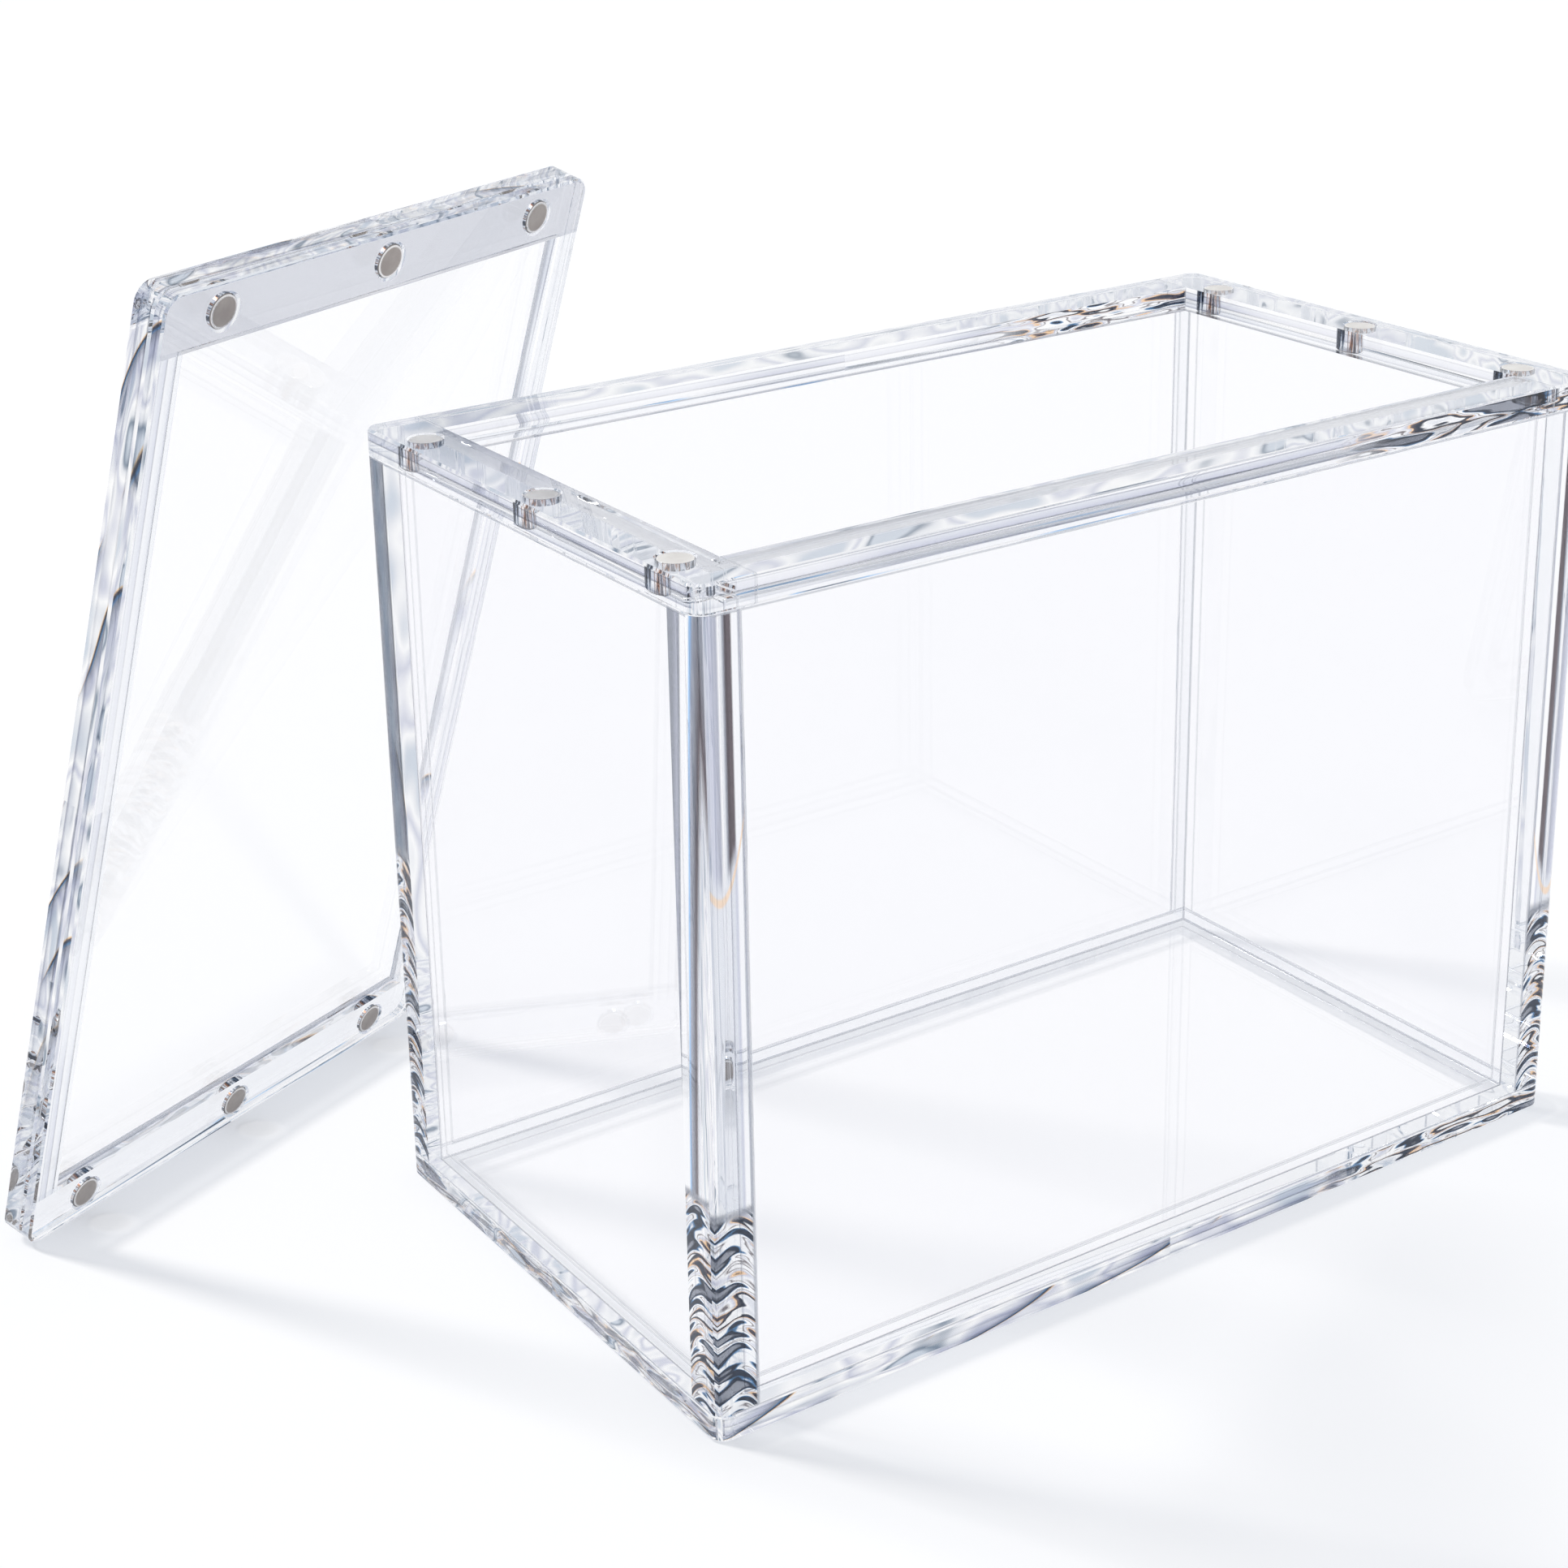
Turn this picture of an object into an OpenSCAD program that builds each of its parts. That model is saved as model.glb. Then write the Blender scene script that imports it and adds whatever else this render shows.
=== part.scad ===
// Trading card display case: a clear open-topped box with a lift-off magnetic lid.
// Millimetres, +Z up. The origin is the centre of the case's footprint, on the floor.
// The long front wall faces -Y. The lid leans on the back left corner of the case.

/* [Case] */
// Outside length of the case
case_l = 196; // [150:1:300]
// Outside depth of the case, front to back
case_w = 110; // [80:1:200]
// Height of the case without its lid
case_h = 150; // [90:1:220]
// Thickness of the four walls
wall_t = 8; // [5:0.5:9]
// Thickness of the base panel
base_t = 5; // [3:0.5:10]
// Radius of the upright outer corners
corner_r = 3; // [1:0.5:4]
// Bevel along the polished outer edges
edge_c = 0.4; // [0.1:0.05:0.8]

/* [Rim] */
// Thickness of the rim strips on top of the walls
rim_h = 5; // [3:0.5:10]
// Width of the two rim bars that hold the magnets
bar_w = 11; // [10:0.5:20]
// Width of the front and back rim rails
rail_w = 10; // [9:0.5:20]

/* [Magnets] */
// Diameter of every magnet
mag_d = 6.35; // [4:0.05:7]
// Height of the case's magnets
mag_h = 4.8; // [2:0.1:4.9]
// Height of the lid's magnets
lid_mag_h = 2.4; // [1:0.1:2.4]
// From the end face to the magnet centres
mag_end = 5.5; // [5:0.1:6.5]
// From the long faces to the outer magnet centres
mag_side = 14; // [8:0.5:30]
// Diametral room round a case magnet, which is glued in
case_bore_gap = 0.4; // [0.1:0.05:1]
// Diametral room round a lid magnet, which is glued in
lid_bore_gap = 0.9; // [0.1:0.05:1.2]

/* [Lid] */
// Thickness of the lid plate
lid_t = 4.5; // [3:0.5:10]
// Thickness of the strips under the lid plate
lid_rim_h = 2.5; // [2.5:0.5:6]
// Width of the lid's side rails
lid_rail_w = 5.5; // [4:0.5:12]
// Radius of the lid's corners
lid_r = 3.5; // [1:0.5:4]

/* [How the lid leans] */
// Turn of the lid's foot edge from the long walls, degrees
lid_yaw = 23.1; // [5:0.5:60]
// Lean of the lid towards the case, degrees from upright
lid_lean = 17.1; // [8:0.1:24]
// From the lid's left edge to the point that rests on the case
lid_reach = 61; // [20:1:90]
// Clearance left at that point
lean_gap = 0.3; // [0.1:0.1:1]

/* [Hidden] */
$fn = 64;
half_l = case_l / 2;
half_w = case_w / 2;
wall_h = case_h - base_t - rim_h;
rim_z = case_h - rim_h;
wall_top = base_t + wall_h;
mag_ys = [-(half_w - mag_side), 0, half_w - mag_side];
mag_c = 0.25;
cut = 1;
// The leaning lid's axes: up along its length, along its foot, and out of its underside.
lean_v = [cos(lid_yaw), sin(lid_yaw), 0];
lean_h = [sin(lid_yaw), -cos(lid_yaw), 0];
lean_u = [lean_h.x * sin(lid_lean), lean_h.y * sin(lid_lean), cos(lid_lean)];
lean_n = cross(lean_v, lean_u);
// The point of the rim's rounded back left corner that the lid rests on.
rest_x = -(half_l - corner_r) - corner_r * lean_h.x;
rest_y = half_w - corner_r - corner_r * lean_h.y;
rest_p = [rest_x, rest_y, case_h - edge_c];
// The plate's own face meets it there, between the strips, so the lid's rim face is proud of it.
lean_p = rest_p + (lid_rim_h - lean_gap) * lean_n;
// The bevel on its foot edge stands on the floor.
lean_up = (lean_p.z + edge_c * sin(lid_lean)) / lean_u.z;
foot = lean_p - lean_up * lean_u - lid_reach * lean_v;
clear_col = [0.86, 0.91, 0.95, 0.35];
rim_col = [0.80, 0.87, 0.93, 0.45];
metal_col = [0.70, 0.68, 0.65];

// Cross-section of a slab with bevelled edges, c by 45 degrees.
module bevel_face(w, h, c) {
    polygon([
        [-w / 2 + c, 0], [w / 2 - c, 0], [w / 2, c], [w / 2, h - c],
        [w / 2 - c, h], [-w / 2 + c, h], [-w / 2, h - c], [-w / 2, c]
    ]);
}

// One rounded corner of a slab: a post whose two ends are bevelled.
module corner_post(r, h, c) {
    rotate_extrude() polygon([[0, 0], [r - c, 0], [r, c], [r, h - c], [r - c, h], [0, h]]);
}

// A flat slab, centred, with rounded corners and bevelled top and bottom edges.
module slab(l, w, h, r, c) {
    union() {
        translate([0, w / 2 - r, 0]) rotate([90, 0, 0])
            linear_extrude(w - 2 * r) bevel_face(l, h, c);
        translate([-(l / 2 - r), 0, 0]) rotate([90, 0, 90])
            linear_extrude(l - 2 * r) bevel_face(w, h, c);
        for (x = [-1, 1])
            for (y = [-1, 1])
                translate([x * (l / 2 - r), y * (w / 2 - r), 0]) corner_post(r, h, c);
    }
}

// The end strip of a slab, from its left face inwards, w_bar wide, bored for magnets.
module end_bar(l, w, h, r, c, w_bar, bore_d) {
    difference() {
        intersection() {
            slab(l, w, h, r, c);
            translate([-l / 2 - cut, -w / 2 - cut, -cut]) cube([w_bar + cut, w + 2 * cut, h + 2 * cut]);
        }
        for (y = mag_ys)
            translate([-l / 2 + mag_end, y, -cut]) cylinder(d = bore_d, h = h + 2 * cut);
    }
}

// The front strip of a slab between its two end bars.
module side_rail(l, w, h, c, w_bar, w_rail) {
    translate([-(l / 2 - w_bar), -w / 2, 0]) rotate([90, 0, 90]) linear_extrude(l - 2 * w_bar)
        polygon([[c, 0], [w_rail, 0], [w_rail, h], [c, h], [0, h - c], [0, c]]);
}

// A disc magnet standing on z = 0, its two edges broken.
module magnet(h) {
    color(metal_col) rotate_extrude()
        polygon([
            [0, 0], [mag_d / 2 - mag_c, 0], [mag_d / 2, mag_c],
            [mag_d / 2, h - mag_c], [mag_d / 2 - mag_c, h], [0, h]
        ]);
}

module base_panel() {
    color(clear_col) slab(case_l, case_w, base_t, corner_r, edge_c);
}

// The left wall, full depth, with its two outer upright edges rounded.
module end_panel() {
    r = corner_r;
    color(clear_col) translate([-half_l, 0, base_t]) union() {
        translate([r, -half_w, 0]) cube([wall_t - r, case_w, wall_h]);
        translate([0, -half_w + r, 0]) cube([r + cut / 2, case_w - 2 * r, wall_h]);
        for (y = [-1, 1]) translate([r, y * (half_w - r), 0]) cylinder(r = r, h = wall_h);
    }
}

// The front wall, which stands between the two end walls.
module long_panel() {
    color(clear_col) translate([-half_l + wall_t, -half_w, base_t])
        cube([case_l - 2 * wall_t, wall_t, wall_h]);
}

module case_bar() {
    color(rim_col) translate([0, 0, rim_z])
        end_bar(case_l, case_w, rim_h, corner_r, edge_c, bar_w, mag_d + case_bore_gap);
}

module case_rail() {
    color(rim_col) translate([0, 0, rim_z]) side_rail(case_l, case_w, rim_h, edge_c, bar_w, rail_w);
}

// A case magnet stands on the end wall: sx is the end, i counts from the front.
module case_magnet(sx, i) {
    translate([sx * (half_l - mag_end), mag_ys[i], wall_top]) magnet(mag_h);
}

// Carries a lid drawn closed, centred, face down on z = 0, to where it leans.
module leaning() {
    translate(foot) rotate([0, lid_lean - 90, lid_yaw - 90])
        translate([half_l, half_w, 0]) children();
}

module lid_plate() {
    color(clear_col) leaning() translate([0, 0, lid_rim_h])
        slab(case_l, case_w, lid_t, lid_r, edge_c);
}

module lid_bar() {
    color(rim_col) end_bar(case_l, case_w, lid_rim_h, lid_r, edge_c, bar_w, mag_d + lid_bore_gap);
}

module lid_rail() {
    color(rim_col) side_rail(case_l, case_w, lid_rim_h, edge_c, bar_w, lid_rail_w);
}

// A lid magnet is glued against the plate, just short of the strip's face.
module lid_magnet(sx, i) {
    leaning() translate([sx * (half_l - mag_end), mag_ys[i], lid_rim_h - lid_mag_h])
        magnet(lid_mag_h);
}

base_panel();
long_panel();  // front_panel
mirror([0, 1, 0]) long_panel();  // back_panel
end_panel();  // left_panel
mirror([1, 0, 0]) end_panel();  // right_panel
case_bar();  // left_rim_bar
mirror([1, 0, 0]) case_bar();  // right_rim_bar
case_rail();  // front_rim_rail
mirror([0, 1, 0]) case_rail();  // back_rim_rail
case_magnet(-1, 0);  // left_front_magnet
case_magnet(-1, 1);  // left_middle_magnet
case_magnet(-1, 2);  // left_back_magnet
case_magnet(1, 0);  // right_front_magnet
case_magnet(1, 1);  // right_middle_magnet
case_magnet(1, 2);  // right_back_magnet
lid_plate();
leaning() lid_bar();  // lid_left_bar
leaning() mirror([1, 0, 0]) lid_bar();  // lid_right_bar
leaning() lid_rail();  // lid_front_rail
leaning() mirror([0, 1, 0]) lid_rail();  // lid_back_rail
lid_magnet(-1, 0);  // lid_left_front_magnet
lid_magnet(-1, 1);  // lid_left_middle_magnet
lid_magnet(-1, 2);  // lid_left_back_magnet
lid_magnet(1, 0);  // lid_right_front_magnet
lid_magnet(1, 1);  // lid_right_middle_magnet
lid_magnet(1, 2);  // lid_right_back_magnet
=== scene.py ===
"""Looks of a clear trading card display case with its lid leaning on one corner."""

import math
from functools import partialmethod
from types import SimpleNamespace

import bpy
from mathutils import Matrix, Vector

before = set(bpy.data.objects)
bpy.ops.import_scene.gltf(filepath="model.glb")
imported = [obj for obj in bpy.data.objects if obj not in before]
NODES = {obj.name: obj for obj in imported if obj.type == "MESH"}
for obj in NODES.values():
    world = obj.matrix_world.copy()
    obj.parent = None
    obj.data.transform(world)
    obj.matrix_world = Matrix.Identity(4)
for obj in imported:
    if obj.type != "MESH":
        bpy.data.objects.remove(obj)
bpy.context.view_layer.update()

MM = 0.001
# The case, in millimetres: half its length and width, its height, its sheets and strips, and the
# radius of its upright corners and the bevel on its edges.
HALF_L, HALF_W, HIGH = 98.0, 55.0, 150.0
WALL, BASE, RIM, BAR, RAIL = 8.0, 5.0, 5.0, 11.0, 10.0
CORNER, BEVEL = 3.0, 0.4
# The lid: its thickness, its strips' height and its long strips' width. Then how it leans: its
# angles, its gap to the case's corner, and how far along its foot edge that corner is.
LID_THICK, LID_RIM, LID_RAIL = 7.0, 2.5, 5.5
YAW, LEAN = math.radians(23.1), math.radians(17.1)
LEAN_GAP, LID_REACH = 0.3, 61.0
# The magnets: their centres from the ends and sides, and their bores' radii with a little room.
# Then the radii over which a ground face ends, and over which the painted dark outline starts.
MAG_END, MAG_SIDE = 5.5, 14.0
BORE, LID_BORE = 3.45, 3.7
FACE_ENDS, OUTLINE_STARTS = (2.55, 2.75), (2.95, 3.05)
# Room for rounding: at a plane that a face is on, at an edge where it ends, and past a seam.
ON, AT, PAST = 0.05, 0.02, 0.01
# Heights on the posts for the painted light and shade: where the dark band ends in a tip and how
# much lower that is on the right, and from where to where the light breaks up into arcs and how
# much higher that is at the back.
TIP, TIP_DROP = 98.0, 50.0
ARCS_WHOLE, ARCS_GONE, ARCS_RISE = 42.0, 45.0, 18.0
# After how many turns a ray shows a painted glow of piped light inside a sheet, and white in place
# of the room.
PIPED_AFTER, ROOM_UNTIL = 9.5, 4.5


# ---------------------------------------------------------------- shader maths
class Sock:
    """A shader socket that Python's operators work on."""

    def __init__(self, tree, out=None):
        self.tree, self.out = tree, out

    def node(self, kind, values=(), **props):
        """Adds a node, sets its props, then links or sets its inputs by name or number, and gives
        its first output."""
        n = self.tree.nodes.new(kind)
        for k, v in props.items():
            setattr(n, k, v)
        for k, v in dict(values).items():
            if isinstance(v, Sock):
                self.tree.links.new(v.out, n.inputs[k])
            else:
                n.inputs[k].default_value = v
        return Sock(self.tree, n.outputs[0] if n.outputs else None)

    def get(self, key):
        """Another output of the same node, by name or number."""
        return Sock(self.tree, self.out.node.outputs[key])

    def maths(self, op, *rest):
        """A Math node on this and the rest."""
        return self.node("ShaderNodeMath", dict(enumerate((self, *rest))), operation=op)

    __add__ = __radd__ = partialmethod(maths, "ADD")
    __sub__ = partialmethod(maths, "SUBTRACT")
    __mul__ = __rmul__ = partialmethod(maths, "MULTIPLY")
    __truediv__ = partialmethod(maths, "DIVIDE")
    __gt__ = partialmethod(maths, "GREATER_THAN")
    __lt__ = partialmethod(maths, "LESS_THAN")
    __and__ = partialmethod(maths, "MINIMUM")
    __or__ = partialmethod(maths, "MAXIMUM")
    __abs__ = partialmethod(maths, "ABSOLUTE")

    def __rsub__(self, o):
        return self * -1.0 + o

    def near(self, value):
        """1 where this is at the value, give or take what ON allows."""
        return abs(self - value) < ON

    def ramp(self, lo, hi):
        """0 below lo, 1 above hi, smooth between."""
        return self.node("ShaderNodeMapRange", {0: self, 1: lo, 2: hi},
                         interpolation_type="SMOOTHSTEP")

    def line(self, at, half):
        """1 within half of a place, with a soft shoulder."""
        return 1.0 - abs(self - at).ramp(half * 0.5, half)

    def pick(self, a, b):
        """Number a where this is 0 and b where it is 1."""
        return self * (b - a) + a

    def mix(self, a, b):
        """Colour a where this is 0 and b where it is 1."""
        a, b = [v if isinstance(v, Sock) else (*v, 1.0) for v in (a, b)]
        return self.node("ShaderNodeMix", {0: self, 6: a, 7: b}, data_type="RGBA").get(2)

    def tinted(self, colour):
        """This colour times another."""
        return self.node("ShaderNodeMix", {0: 1.0, 6: self, 7: colour},
                         data_type="RGBA", blend_type="MULTIPLY").get(2)

    def blend(self, a, b):
        """Shader a where this is 0 and b where it is 1."""
        return self.node("ShaderNodeMixShader", {0: self, 1: a, 2: b})


def stops(v, *pairs):
    """A colour ramp over v from (place, colour) pairs."""
    colour = v.node("ShaderNodeValToRGB", {0: v})
    ramp = colour.out.node.color_ramp
    while len(ramp.elements) > 1:
        ramp.elements.remove(ramp.elements[-1])
    for i, (at, rgb) in enumerate(pairs):
        e = ramp.elements[0] if i == 0 else ramp.elements.new(at)
        e.position, e.color = at, (*rgb, 1.0)
    return colour


def grain(v, scale, detail, twist=0.0, rough=0.5):
    """Soft noise, about 0.25 to 0.75, over a vector."""
    return v.node("ShaderNodeTexNoise", {"Vector": v, "Scale": scale, "Detail": detail,
                                         "Roughness": rough, "Distortion": twist})


def noise(a, b, c, detail=0.0, twist=0.0):
    """Soft noise over three numbers, the first of them a socket."""
    return grain(a.node("ShaderNodeCombineXYZ", {0: a, 1: b, 2: c}), 1.0, detail, twist)


def through(s, tint):
    """A shader that light goes straight through."""
    return s.node("ShaderNodeBsdfTransparent", {0: (*tint, 1.0)})


def parts(v):
    """A vector's three numbers."""
    split = v.node("ShaderNodeSeparateXYZ", {0: v})
    return [split.get(i) for i in range(3)]


def dot(v, axis):
    """How far a vector goes along an axis."""
    return v.node("ShaderNodeVectorMath", {0: v, 1: axis}, operation="DOT_PRODUCT").get("Value")


def axes(s, origin=(0, 0, 0), turn=None):
    """The place in millimetres and the normal, each as three numbers in the frame given."""
    place = s.node("ShaderNodeTexCoord").get("Object")
    normal = s.node("ShaderNodeNewGeometry").get("Normal")
    if turn is None:
        p, n = parts(place), parts(normal)
    else:
        start = [c * MM for c in origin]
        place = s.node("ShaderNodeVectorMath", {0: place, 1: start}, operation="SUBTRACT")
        p, n = [[dot(v, axis) for axis in turn] for v in (place, normal)]
    return [c * (1.0 / MM) for c in p], n


def new_material(name):
    """A material with no nodes yet, and a socket to start them from."""
    mat = bpy.data.materials.new(name)
    mat.use_nodes = True
    mat.node_tree.nodes.clear()
    return mat, Sock(mat.node_tree)


# ---------------------------------------------------------------- colours
WHITE, NAVY, SLATE = (1.0, 1.0, 1.0), (0.03, 0.042, 0.07), (0.20, 0.26, 0.34)
WARM, COOL, PALE = (1.0, 0.66, 0.36), (0.36, 0.62, 0.95), (0.62, 0.68, 0.76)
LILAC, MIST, LEAD = (0.64, 0.66, 0.76), (0.80, 0.82, 0.86), (0.30, 0.32, 0.37)
UMBER, STEEL, BLUE = (0.14, 0.115, 0.13), (0.44, 0.46, 0.54), (0.10, 0.25, 0.46)
BROWN, BAR_PAINTED_GREY, SOLVENT = (0.45, 0.20, 0.10), (0.54, 0.55, 0.60), (0.28, 0.30, 0.35)
# A sheet's own tint above the base, and in the base a nearly clear tint, painted light that lifts
# the floor seen through it. Light that goes straight through: a sheet, a dense part on the way to
# the world and on the way to the lamp, a bonded face, and a magnet's shadow.
SHEET, SHEET_BASE_LIT = (0.976, 0.975, 0.984), (0.997, 0.997, 0.999)
CLEAR, VEIL, SHADE = (0.998, 0.998, 0.999), (0.94, 0.945, 0.955), (0.68, 0.70, 0.73)
BONDED, MAG_SHADE = (0.965, 0.970, 0.978), (0.85, 0.85, 0.85)
# Nickel: its rolled edge as a painted highlight, its outline as a painted shade, and the case's
# and the lid's ground faces, dull and bright, the lid's painted darker as shade.
NICKEL, OUTLINE_SHADE = (0.80, 0.79, 0.78), (0.22, 0.21, 0.21)
GROUND = (0.70, 0.68, 0.66), (0.80, 0.79, 0.77)
LID_GROUND_SHADED = (0.35, 0.315, 0.295), (0.43, 0.395, 0.37)
# The sweep and its greyer part in front on the right, a painted shade, and the world's light on it.
SWEEP, SWEEP_SHADED = (0.965, 0.967, 0.972), (0.957, 0.964, 0.974)
SKY = (0.62, 0.625, 0.64)

# A painted glow for what shows inside a sheet after many turns: longer, paler streaks.
PIPED = ((0.0, PALE), (0.34, PALE), (0.38, MIST), (0.43, WHITE), (0.50, LILAC), (0.56, WHITE),
         (0.62, MIST), (0.66, SLATE), (0.70, PALE))
# What the cut edges pass on from the room: a white sweep broken by dark stands and cards with a
# cool fringe.
ROOM = ((0.0, NAVY), (0.33, NAVY), (0.37, SLATE), (0.395, COOL), (0.415, WHITE), (0.50, MIST),
        (0.55, WHITE), (0.615, WHITE), (0.63, LILAC), (0.645, SLATE), (0.69, NAVY), (0.72, PALE),
        (0.75, WHITE))
# Painted light and shade across a corner post, from its outer edge: its end face in front and at
# the back, and the upper and the lower part of its long face.
POST_END = ((0.0, WHITE), (0.12, MIST), (0.20, UMBER), (0.30, LEAD), (0.38, STEEL), (0.43, COOL),
            (0.48, WHITE), (0.72, WHITE), (0.77, LEAD), (0.86, STEEL), (1.0, LEAD))
POST_BACK = ((0.0, STEEL), (0.10, STEEL), (0.16, WHITE), (0.24, WHITE), (0.29, NAVY), (0.34, LEAD),
             (0.55, SLATE), (0.86, LEAD), (0.92, NAVY), (0.97, WHITE))
POST_HIGH = ((0.0, WHITE), (0.04, LEAD), (0.08, WHITE), (0.12, MIST), (0.30, LILAC), (0.44, STEEL),
             (0.49, WHITE), (0.55, MIST), (0.60, LEAD), (0.64, UMBER), (0.76, UMBER), (0.80, WHITE),
             (0.92, WHITE), (0.96, STEEL), (1.0, WHITE))
POST_LOW = ((0.0, WHITE), (0.04, LEAD), (0.08, WHITE), (0.16, MIST), (0.72, MIST), (0.78, LILAC),
            (0.83, WHITE), (0.92, WHITE), (0.96, STEEL), (1.0, WHITE))
# Painted light and shade down the side of a rim or of the base, or through the lid's thickness,
# and down the base's ends.
EDGE = ((0.0, WHITE), (0.12, WHITE), (0.155, STEEL), (0.19, MIST), (0.38, LILAC), (0.43, LEAD),
        (0.47, WHITE), (0.70, MIST), (0.77, STEEL), (0.80, WHITE), (0.95, WHITE), (1.0, LILAC))
PLINTH = ((0.0, WHITE), (0.12, WHITE), (0.17, NAVY), (0.22, LEAD), (0.48, STEEL), (0.66, LEAD),
          (0.73, NAVY), (0.78, WHITE), (1.0, WHITE))
# Painted light along an edge: pale lengths that end in a dark tip with a warm and a cool fringe.
LENGTHS = ((0.0, WHITE), (0.40, WHITE), (0.58, MIST), (0.74, LILAC), (0.83, STEEL), (0.89, LEAD),
           (0.91, BLUE), (0.945, NAVY), (0.965, UMBER), (0.982, WARM), (1.0, WHITE))
# Painted light and shade where an edge's light is broken up: dark, with white arcs and a warm
# fringe.
BROKEN = ((0.0, LEAD), (0.34, LEAD), (0.37, NAVY), (0.415, NAVY), (0.43, BLUE), (0.445, WHITE),
          (0.485, WHITE), (0.495, UMBER), (0.51, WHITE), (0.54, LILAC), (0.56, WARM), (0.57, UMBER),
          (0.60, NAVY), (0.625, NAVY), (0.645, WHITE), (0.70, MIST))
# Round a magnet's wall: painted reflections of the room in stripes.
MIRRORED = ((0.0, NAVY), (0.40, NAVY), (0.43, SLATE), (0.46, WHITE), (0.50, MIST), (0.53, NAVY),
            (0.55, BROWN), (0.585, WHITE), (0.62, UMBER), (0.70, MIST))


# ---------------------------------------------------------------- places on the pieces
def off_axis(p, middle=(0.0, 0.0)):
    """Square of the distance from the nearest magnet's axis."""
    off_x = abs(abs(p[0] - middle[0]) - (HALF_L - MAG_END))
    off_y = abs(p[1] - middle[1])
    off_y = off_y & abs(off_y - (HALF_W - MAG_SIDE))
    return off_x * off_x + off_y * off_y


def bonded_case(p, n):
    """1 on the faces where two case pieces are solvent-bonded, and in the bores, where glue fills
    the gap."""
    x, y, z = p
    ax, ay = abs(x), abs(y)
    end_on, flat = abs(n[0]) > 0.9, abs(n[2]) > 0.9
    over_wall = (ax > HALF_L - WALL) | (ay > HALF_W - WALL)
    decks = (z.near(BASE) | z.near(HIGH - RIM)) & over_wall & flat
    walls = (ax.near(HALF_L - WALL) & (ay > HALF_W - WALL) & (z < HIGH - RIM + PAST)
             & (z > BASE - PAST) & end_on)
    strips = ax.near(HALF_L - BAR) & (ay > HALF_W - RAIL) & (z > HIGH - RIM - PAST) & end_on
    bores = (off_axis(p) < BORE ** 2) & (z > HIGH - RIM + ON) & (z < HIGH - AT)
    return decks | walls | strips | bores


def bonded_lid(p, n):
    """The same for the lid, in its own closed frame: x along it, z up from its strips' face."""
    x, y, z = p
    ax, ay = abs(x - HALF_L), abs(y - HALF_W)
    end_on, flat = abs(n[0]) > 0.9, abs(n[2]) > 0.9
    over_strip = (ax > HALF_L - BAR) | (ay > HALF_W - LID_RAIL)
    deck = z.near(LID_RIM) & over_strip & flat
    strips = ax.near(HALF_L - BAR) & (ay > HALF_W - LID_RAIL) & (z < LID_RIM + PAST) & end_on
    bores = (off_axis(p, (HALF_L, HALF_W)) < LID_BORE ** 2) & (z > AT) & (z < LID_RIM - ON)
    return deck | strips | bores


def dense_case(p):
    """1 in the columns and the base's rim, and half in the rim strips, which bend the light away
    and so cast the case's shadow."""
    ax, ay = abs(p[0]), abs(p[1])
    column = (ax > HALF_L - WALL - 1.0) & (ay > HALF_W - WALL - 1.0)
    level = (p[2] < BASE + 0.5) | (p[2] > HIGH - RIM) * 0.5
    ring = level & ((ax > HALF_L - BAR) | (ay > HALF_W - RAIL))
    return column | ring


def dense_lid(p):
    """1 along the lid's four edges."""
    return (abs(p[0] - HALF_L) > HALF_L - BAR) | (abs(p[1] - HALF_W) > HALF_W - LID_RAIL)


def narrow_case(p, n):
    """The case's narrow faces, which carry the painted light and shade: here is their mask, across
    is 0 at the outer or upper edge and about half on top, along is in mm, and seed tells them
    apart. The other masks say which are upright, on a post and on the base, which stay calm, and
    how far the painted light is broken up."""
    x, y, z = p
    ax, ay = abs(x), abs(y)
    side, seat = abs(n[2]) < 0.2, n[2] > 0.8
    rim, base = z > HIGH - RIM, z < BASE
    level = rim | base
    post = (ax > HALF_L - WALL) & (ay > HALF_W - WALL) & side & (1.0 - level)
    top = rim & seat
    edge = level & side & ((abs(n[0]) | abs(n[1])) > 0.8)
    along_x, on_bar = abs(n[1]) > 0.5, ax > HALF_L - BAR
    to_end, to_side = HALF_L - ax, HALF_W - ay
    down = rim.pick((BASE - z) / BASE, (HIGH - z) / RIM)
    inward = 0.5 + (to_end & to_side) / RAIL * 0.2
    seed = (x > 0.0) * 3.1 + (y > 0.0) * 7.7 + rim * 1.9 + along_x * 4.3
    uneven = (noise(z * 0.02, seed, 0.0) - 0.5) * 24.0
    foot = 1.0 - (z + uneven - (y > 0.0) * ARCS_RISE).ramp(ARCS_WHOLE, ARCS_GONE)
    far = along_x.pick(base * 0.55, x.ramp(28.0, 50.0)) * (1.0 - top)
    return SimpleNamespace(
        here=post | top | edge,
        across=post.pick(top.pick(down, inward), (to_end | to_side) / WALL),
        along=post.pick(top.pick(along_x.pick(y, x), on_bar.pick(x, y)), z),
        seed=seed, upright=post, post=post, base=base, calm=z * 0.0, broken=post.pick(far, foot))


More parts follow.
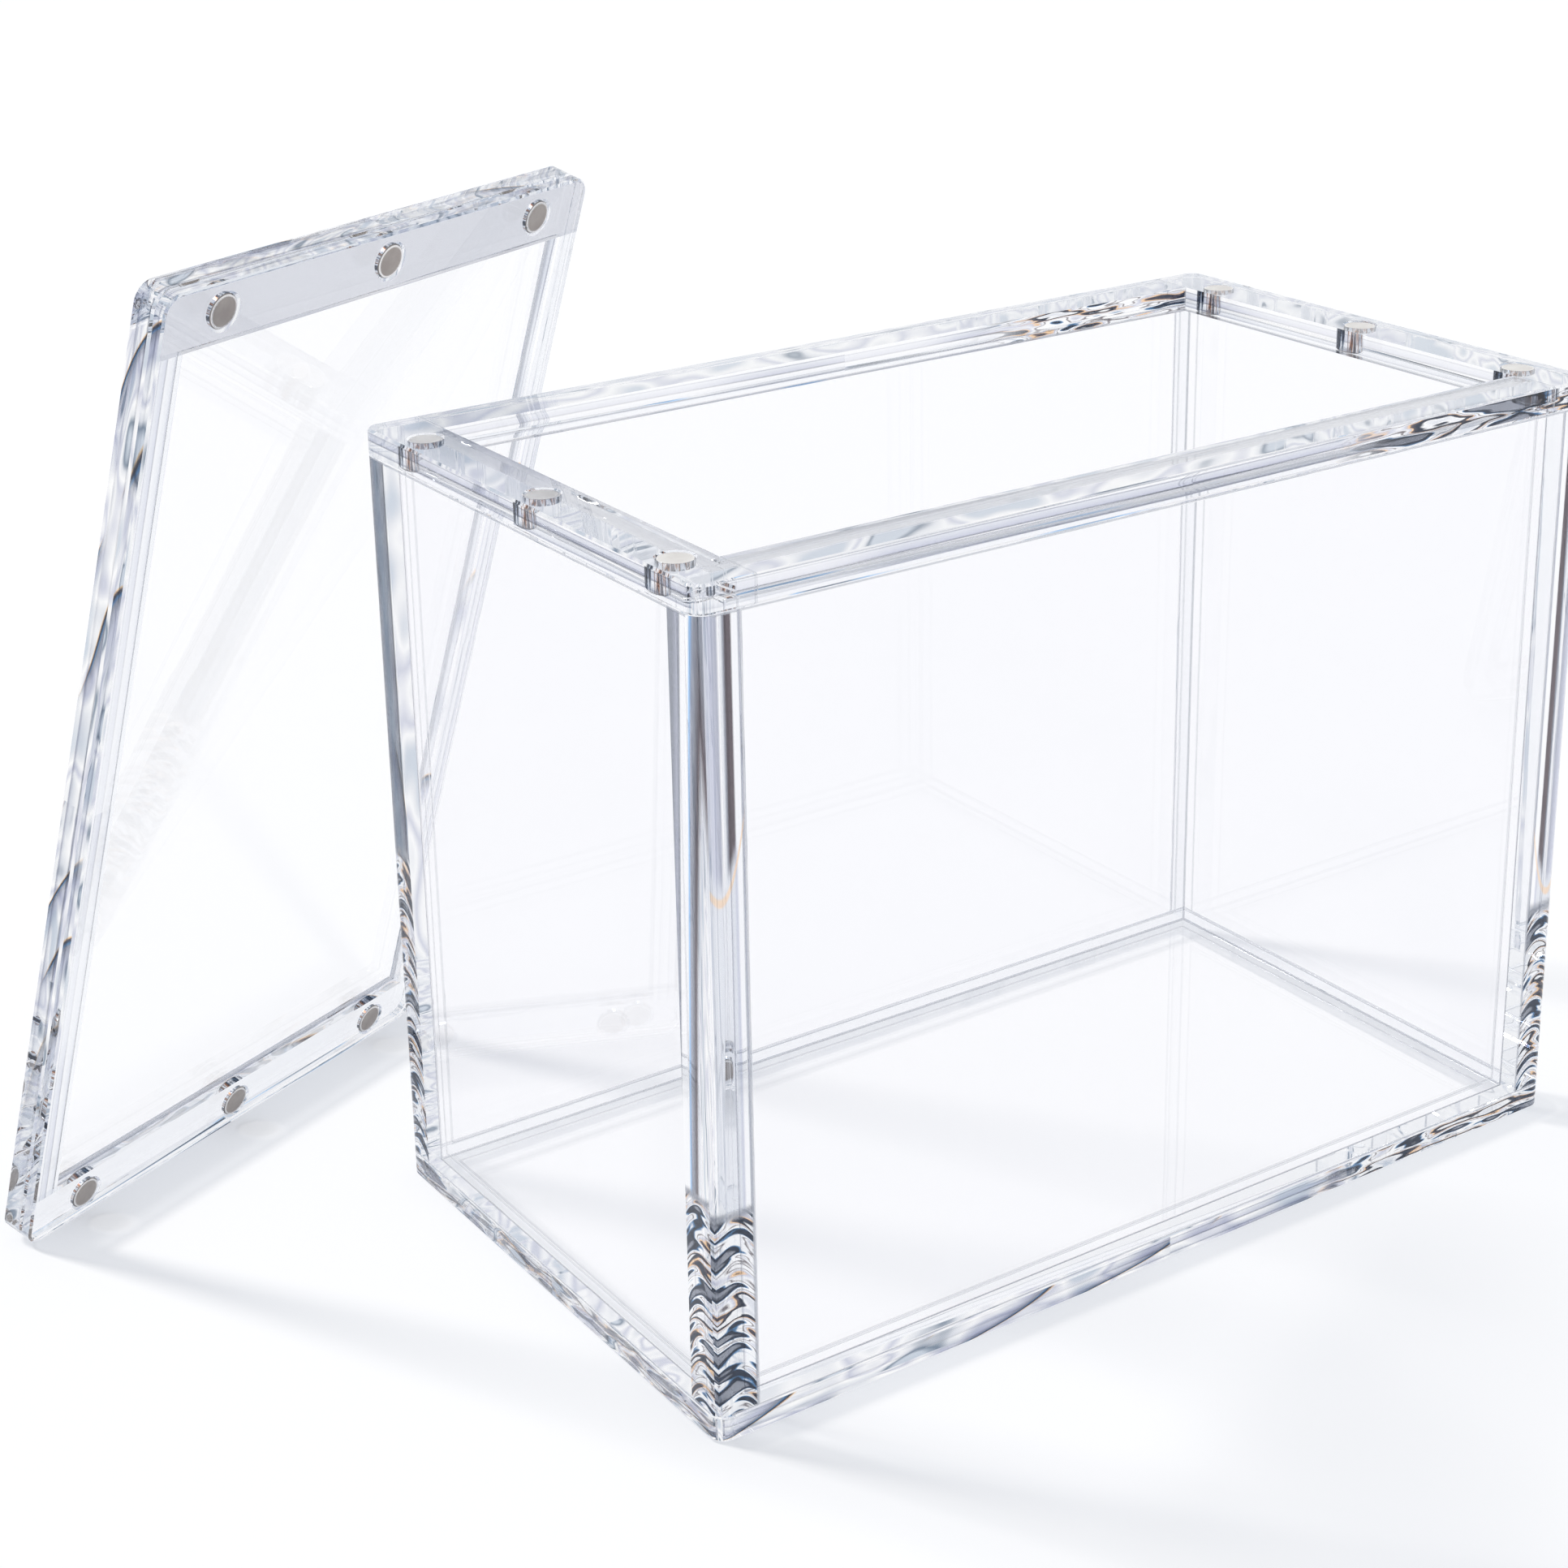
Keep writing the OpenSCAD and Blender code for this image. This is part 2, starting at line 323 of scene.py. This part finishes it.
def narrow_lid(p, n):
    """The same for the lid: its four edges, and the faces of the strips under it, with their
    painted light and shade.
    """
    x, y, z = p
    ax, ay = abs(x - HALF_L), abs(y - HALF_W)
    side = (abs(n[2]) < 0.2) & ((abs(n[0]) | abs(n[1])) > 0.8)
    end = abs(n[0]) > 0.5
    under = (n[2] < -0.8) & (z < 0.1)
    strip, bar = under & (ax < HALF_L - BAR), under & (x > 2 * HALF_L - BAR)
    # On the lid's end faces the painted light is paler towards its foot.
    fading = side * end.pick(0.35 + 0.65 * x.ramp(20.0, 60.0), 1.0)
    broken = end.pick(0.22 - 0.22 * x.ramp(34.0, 46.0), 0.25 * x.ramp(0.0, 1.0))
    none = z * 0.0
    return SimpleNamespace(
        here=fading | strip | bar,
        across=bar.pick(strip.pick(z / LID_THICK, (HALF_W - ay) / LID_RAIL), 0.45),
        along=end.pick(x, y),
        seed=(y > HALF_W) * 3.7 + (x > HALF_L) * 5.1 + end * 2.3 + strip * 1.3,
        upright=1.0 - end, post=none, base=none, calm=bar, broken=broken * (1.0 - under))


def seams_case(p):
    """The lines of solvent beside the inside corners, and the line of each joint outside."""
    x, y, z = p
    ax, ay = abs(x), abs(y)
    to_x, to_y, to_z = (HALF_L - WALL) - ax, (HALF_W - WALL) - ay, z - BASE
    inside = (to_x > -AT) & (to_y > -AT) & (z > BASE - AT) & (z < HIGH - RIM + AT)
    off = (to_x | to_y) & (to_z | (to_x & to_y))
    bead = (off.line(0.0, 0.45) | off.line(2.6, 0.3) * 0.6) * inside
    decks = z.line(BASE, 0.45) | z.line(HIGH - RIM, 0.45)
    outside = (ax > HALF_L - AT) | (ay > HALF_W - AT)
    post = ax.line(HALF_L - WALL, 0.35) & (z > BASE) & (z < HIGH - RIM) & (ay > HALF_W - AT)
    strip = 0.45 * ax.line(HALF_L - BAR, 0.35) & (z > HIGH - RIM) & (ay > HALF_W - RAIL - ON)
    inner = z.line(HIGH - RIM, 0.6) & (ax < HALF_L - WALL + AT) & (ay < HALF_W - WALL + AT)
    return bead, (decks & outside) | post | strip | inner


def seams_lid(p):
    """The same two masks on the lid: round the foot of its strips, and round its edge."""
    x, y, z = p
    ax, ay = abs(x - HALF_L), abs(y - HALF_W)
    ring = abs((ax - (HALF_L - BAR)) | (ay - (HALF_W - LID_RAIL))) + abs(z - LID_RIM)
    edge = z.line(LID_RIM, 0.4) & ((ax > HALF_L - AT) | (ay > HALF_W - AT))
    return 1.0 - ring.ramp(0.3, 0.8), edge


# ---------------------------------------------------------------- materials
def painted_edge_light(p, n, face):
    """The painted light and shade on a narrow face: its streaks, arcs and fringes."""
    across, along, seed = face.across, face.along, face.seed
    flat, end_on = abs(n[2]) > 0.8, abs(n[0]) > 0.5
    drift = noise(along * 0.010, across * 0.3, seed) - 0.5
    sag = (across - 0.5) * (across - 0.5)

    # Painted lengths of light with a slanted dark tip, on the base, the lid's edge and the back
    # posts.
    step = along * 0.042 + across * 0.9 + sag * 0.7 + noise(along * 0.03, 7.1, seed) * 1.6
    cut = noise(along * 0.05, 1.7, seed).ramp(0.36, 0.56) * (1.0 - (flat | (p[2] > HIGH - RIM)))
    lengths = cut.mix(WHITE, stops(step.maths("FRACT"), *LENGTHS))

    # Posts, painted with light and shade: their end faces, and their long faces, where the dark
    # band ends in a rounded tip.
    bow = (across - 0.40) * (across - 0.40) * 40.0
    height = along - bow + (p[0] > 0.0) * TIP_DROP
    long_face = height.ramp(TIP, TIP + 5.0).mix(stops(across, *POST_LOW), stops(across, *POST_HIGH))
    long_face = (height.line(TIP - 0.4, 1.0) * 0.6).mix(long_face, WARM)
    front = stops(across + (along - 110.0) * 0.005 + drift * 0.1, *POST_END)
    behind = stops(across + drift * 0.08, *POST_BACK).tinted(lengths)
    on_post = end_on.mix(long_face, (p[1] > 0.0).mix(front, behind))

    # Level edges, whose painted bands of light and shade wander and come and go along them.
    at = across + drift * 0.34
    bands = (face.base & end_on).mix(stops(at, *EDGE), stops(at, *PLINTH))
    strength = noise(along * 0.013, 3.3, seed).ramp(0.38, 0.54) * 0.6 + 0.4
    smooth = face.post.mix(strength.mix(WHITE, bands).tinted(lengths), on_post)

    arcs = noise(face.upright.pick(along * 0.07, along * 0.36 + sag * 4.3),
                 face.upright.pick(across * 2.4, across * 0.7), seed, 1.6, 0.25)
    light = face.broken.mix(smooth, stops(arcs, *BROKEN))
    light = (face.broken * (1.0 - face.broken) * face.post * 3.2).mix(light, LEAD)
    # The lid's end bars underneath: a flat painted grey of piped light.
    light = face.calm.mix(light, BAR_PAINTED_GREY)
    # A colour tints once on the way in and once on the way out, by its root. Off the flat faces
    # these show only on the way in, so there they tint twice.
    return flat.mix(light.tinted(light), light)


def acrylic(name, bonded, dense, narrow, seams, origin=(0, 0, 0), turn=None):
    """Clear cast acrylic: refracting, faintly cool, hairline scratches and dust in its gloss, and
    light piped out of its narrow faces in long streaks, painted into their colour, with a painted
    glow deep inside the sheets."""
    mat, s = new_material(name)
    p, n = axes(s, origin, turn)
    coord = s.node("ShaderNodeTexCoord").get("Object")
    fine, broad = grain(coord, 900.0, 3.0), grain(coord, 38.0, 2.0)
    face = narrow(p, n)
    bead, joint = seams(p)
    outer = 1.0 - s.node("ShaderNodeNewGeometry").get("Backfacing")
    # Above the base the sheet's own tint; in the base a nearly clear tint, painted light.
    tint = (p[2] < BASE + PAST).mix(SHEET, SHEET_BASE_LIT)
    # Painted light and shade of the narrow faces, put on where a ray enters them.
    tint = (face.here * outer).mix(tint, painted_edge_light(p, n, face))
    tint = (bead * 0.85 | joint * 0.8).mix(tint, SOLVENT)
    ripple = noise(face.along * 0.014, face.across * 1.2, face.seed)
    height = ripple * face.here * 0.7 + broad * 0.02 + bead * 0.4 - joint * 0.3
    bump = s.node("ShaderNodeBump", {"Height": height, "Strength": 1.0, "Distance": 0.0006})
    shell = s.node("ShaderNodeBsdfPrincipled", {
        "Base Color": tint, "IOR": 1.49, "Specular IOR Level": 0.32, "Transmission Weight": 1.0,
        "Roughness": fine.ramp(0.62, 0.80) * 0.03 + broad.ramp(0.45, 0.75) * 0.008,
        "Normal": bump})

    # A painted glow for light that has been passed on and on inside a sheet.
    streak = noise(p[0] * 0.05, p[1] * 0.12, p[2] * 0.04, 1.0)
    piped = s.node("ShaderNodeBsdfPrincipled", {
        "Base Color": (0, 0, 0, 1), "Specular IOR Level": 0.0,
        "Emission Color": stops(streak, *PIPED), "Emission Strength": 1.0})
    path = s.node("ShaderNodeLightPath")
    shell = (path.get("Ray Depth") > PIPED_AFTER).blend(shell, piped)

    # Light on its way to the floor goes straight through, whether it comes from the lamp or from
    # the world.
    thick, clear = dense(p), through(s, CLEAR)
    for kind, held in (("Is Diffuse Ray", VEIL), ("Is Shadow Ray", SHADE)):
        shell = path.get(kind).blend(shell, thick.blend(clear, through(s, held)))
    shell = bonded(p, n).blend(shell, through(s, BONDED))
    s.node("ShaderNodeOutputMaterial", {0: shell})
    mat.cycles.emission_sampling = "NONE"
    return mat


def nickel(name, turn, dull, bright, origin=(0, 0, 0), middle=(0.0, 0.0)):
    """Nickel-plated disc magnet: ground faces with faint scuffs, a rolled edge painted as a
    highlight with a shade outline, and a wall with painted reflections of the room in stripes."""
    mat, s = new_material(name)
    p, n = axes(s, origin, turn)
    off = off_axis(p, middle)
    coord = s.node("ShaderNodeTexCoord").get("Object")
    patch, scuff = grain(coord, 260.0, 3.0), grain(coord, 3000.0, 2.0)
    face = (abs(n[2]) > 0.97) & (1.0 - off.ramp(*(r ** 2 for r in FACE_ENDS)))
    wall = abs(n[2]) < 0.2
    # Painted reflections of the room, in stripes round the wall.
    stripe = stops(noise(n[0] * 2.2, n[1] * 2.2, p[2] * 0.05, 1.5), *MIRRORED)
    # The rolled edge: a painted highlight, then a painted shade as its outline.
    rolled = off.ramp(*(r ** 2 for r in OUTLINE_STARTS)).mix(NICKEL, OUTLINE_SHADE)
    worn = patch.ramp(0.3, 0.75).mix(dull, bright)
    bump = s.node("ShaderNodeBump", {"Height": scuff, "Strength": 0.06, "Distance": 0.0001})
    shell = s.node("ShaderNodeBsdfPrincipled", {
        "Base Color": face.mix(wall.mix(rolled, stripe), worn), "Metallic": 1.0,
        "Roughness": face * 0.16 + scuff.ramp(0.3, 0.8) * 0.08 + 0.12, "Normal": bump})
    # The sweep under the set fills in their small shadows.
    in_shadow = s.node("ShaderNodeLightPath").get("Is Shadow Ray")
    s.node("ShaderNodeOutputMaterial", {0: in_shadow.blend(shell, through(s, MAG_SHADE))})
    return mat


# ---------------------------------------------------------------- the lid's frame
# Along its foot edge, level and square to that, up its slope, and out of its underside.
V = Vector((math.cos(YAW), math.sin(YAW), 0.0))
H = Vector((math.sin(YAW), -math.cos(YAW), 0.0))
U = H * math.sin(LEAN) + Vector((0, 0, math.cos(LEAN)))
N = V.cross(U)
# Where the case's corner meets it, and from there down to its foot and along that.
meets = Vector((-(HALF_L - CORNER) - CORNER * H.x, HALF_W - CORNER - CORNER * H.y, HIGH - BEVEL))
meets += (LID_RIM - LEAN_GAP) * N
FOOT = meets - U * ((meets.z + BEVEL * math.sin(LEAN)) / U.z) - V * LID_REACH
CASE_AXES, LID_AXES = ((1, 0, 0), (0, 1, 0), (0, 0, 1)), (U, V, -N)

clear_case = acrylic("clear_acrylic_case", bonded_case, dense_case, narrow_case, seams_case)
clear_lid = acrylic("clear_acrylic_lid", bonded_lid, dense_lid, narrow_lid, seams_lid, FOOT,
                    LID_AXES)
nickel_case = nickel("nickel_case", CASE_AXES, *GROUND)
# The lid's magnets have their ground faces painted darker, as shade.
nickel_lid = nickel("nickel_lid", LID_AXES, *LID_GROUND_SHADED, FOOT, (HALF_L, HALF_W))
for name, obj in NODES.items():
    metal, sheet = (nickel_lid, clear_lid) if name.startswith("lid_") else (nickel_case, clear_case)
    mat = metal if "magnet" in name else sheet
    for slot in obj.material_slots:
        slot.material = mat
    if not obj.material_slots:
        obj.data.materials.append(mat)

# ---------------------------------------------------------------- floor
scene = bpy.context.scene
REACH, DROP = 12.0, 0.0002
mesh = bpy.data.meshes.new("floor")
mesh.from_pydata([(-REACH, -REACH, 0), (REACH, -REACH, 0), (REACH, REACH, 0), (-REACH, REACH, 0)],
                 [], [(0, 1, 2, 3)])
floor = bpy.data.objects.new("floor", mesh)
floor.location = (0, 0, -DROP)
scene.collection.objects.link(floor)
mat, s = new_material("pale_floor")
at, _ = axes(s)
# Painted shade: the sweep turns greyer towards the front right.
fall = (at[0] * 0.57 - at[1] * 0.82).ramp(40.0, 420.0)
pale, grey = [s.node("ShaderNodeBsdfDiffuse", {0: (*rgb, 1.0)}) for rgb in (SWEEP, SWEEP_SHADED)]
s.node("ShaderNodeOutputMaterial", {0: fall.blend(pale, grey)})
mesh.materials.append(mat)

# ---------------------------------------------------------------- world and lamp
world = bpy.data.worlds.new("studio")
scene.world = world
world.use_nodes = True
world.node_tree.nodes.clear()
s = Sock(world.node_tree)
ray = s.node("ShaderNodeLightPath")
x, y, z = parts(s.node("ShaderNodeTexCoord").get("Generated"))
clutter = grain(s.node("ShaderNodeCombineXYZ", {0: x, 1: y, 2: z * 0.55}), 5.5, 2.0, 0.4, 0.55)
room = (ray.get("Ray Depth") > ROOM_UNTIL).mix(stops(clutter, *ROOM), WHITE)
# White to the camera and in reflections, the room through the sheets, plain light on the floor.
colour = (ray.get("Is Camera Ray") | ray.get("Is Glossy Ray")).mix(SKY, WHITE)
colour = ray.get("Is Transmission Ray").mix(colour, room)
colour = (ray.get("Diffuse Depth") > 0.5).mix(colour, SKY)
s.node("ShaderNodeOutputWorld", {0: s.node("ShaderNodeBackground", {0: colour, 1: 1.0})})

# A broad lamp, high behind the case on the left.
sun = bpy.data.lights.new("key", "SUN")
sun.energy = 1.9
sun.angle = math.radians(10)
key = bpy.data.objects.new("key", sun)
key.rotation_euler = Vector((-0.40, 0.62, 0.72)).to_track_quat("Z", "Y").to_euler()
scene.collection.objects.link(key)

# ---------------------------------------------------------------- camera
# As fitted to the corners in the photo. The focal length is in the photo's pixels.
FOCAL, PHOTO_WIDE, SENSOR = 3592.5, 1932, 36.0
cam = bpy.data.cameras.new("camera")
cam.sensor_width = SENSOR
cam.lens = FOCAL / PHOTO_WIDE * SENSOR
cam.shift_y = -0.12
cam.clip_start, cam.clip_end = 0.01, 60.0
eye = bpy.data.objects.new("camera", cam)
scene.collection.objects.link(eye)
right = Vector((0.8275704, -0.56109661, -0.01725761))
up = Vector((0.19824728, 0.26336024, 0.94410773))
back = Vector((-0.52519068, -0.78473688, 0.32918502))
stand = Matrix((right, up, back)).transposed().to_4x4()
stand.translation = Vector((-0.31374967, -0.40126943, 0.29062302))
eye.matrix_world = stand
scene.camera = eye
scene.view_settings.view_transform = "Standard"
scene.cycles.max_bounces = 14
scene.cycles.transmission_bounces = 14
scene.cycles.transparent_max_bounces = 32
scene.cycles.glossy_bounces = 12
scene.cycles.diffuse_bounces = 3
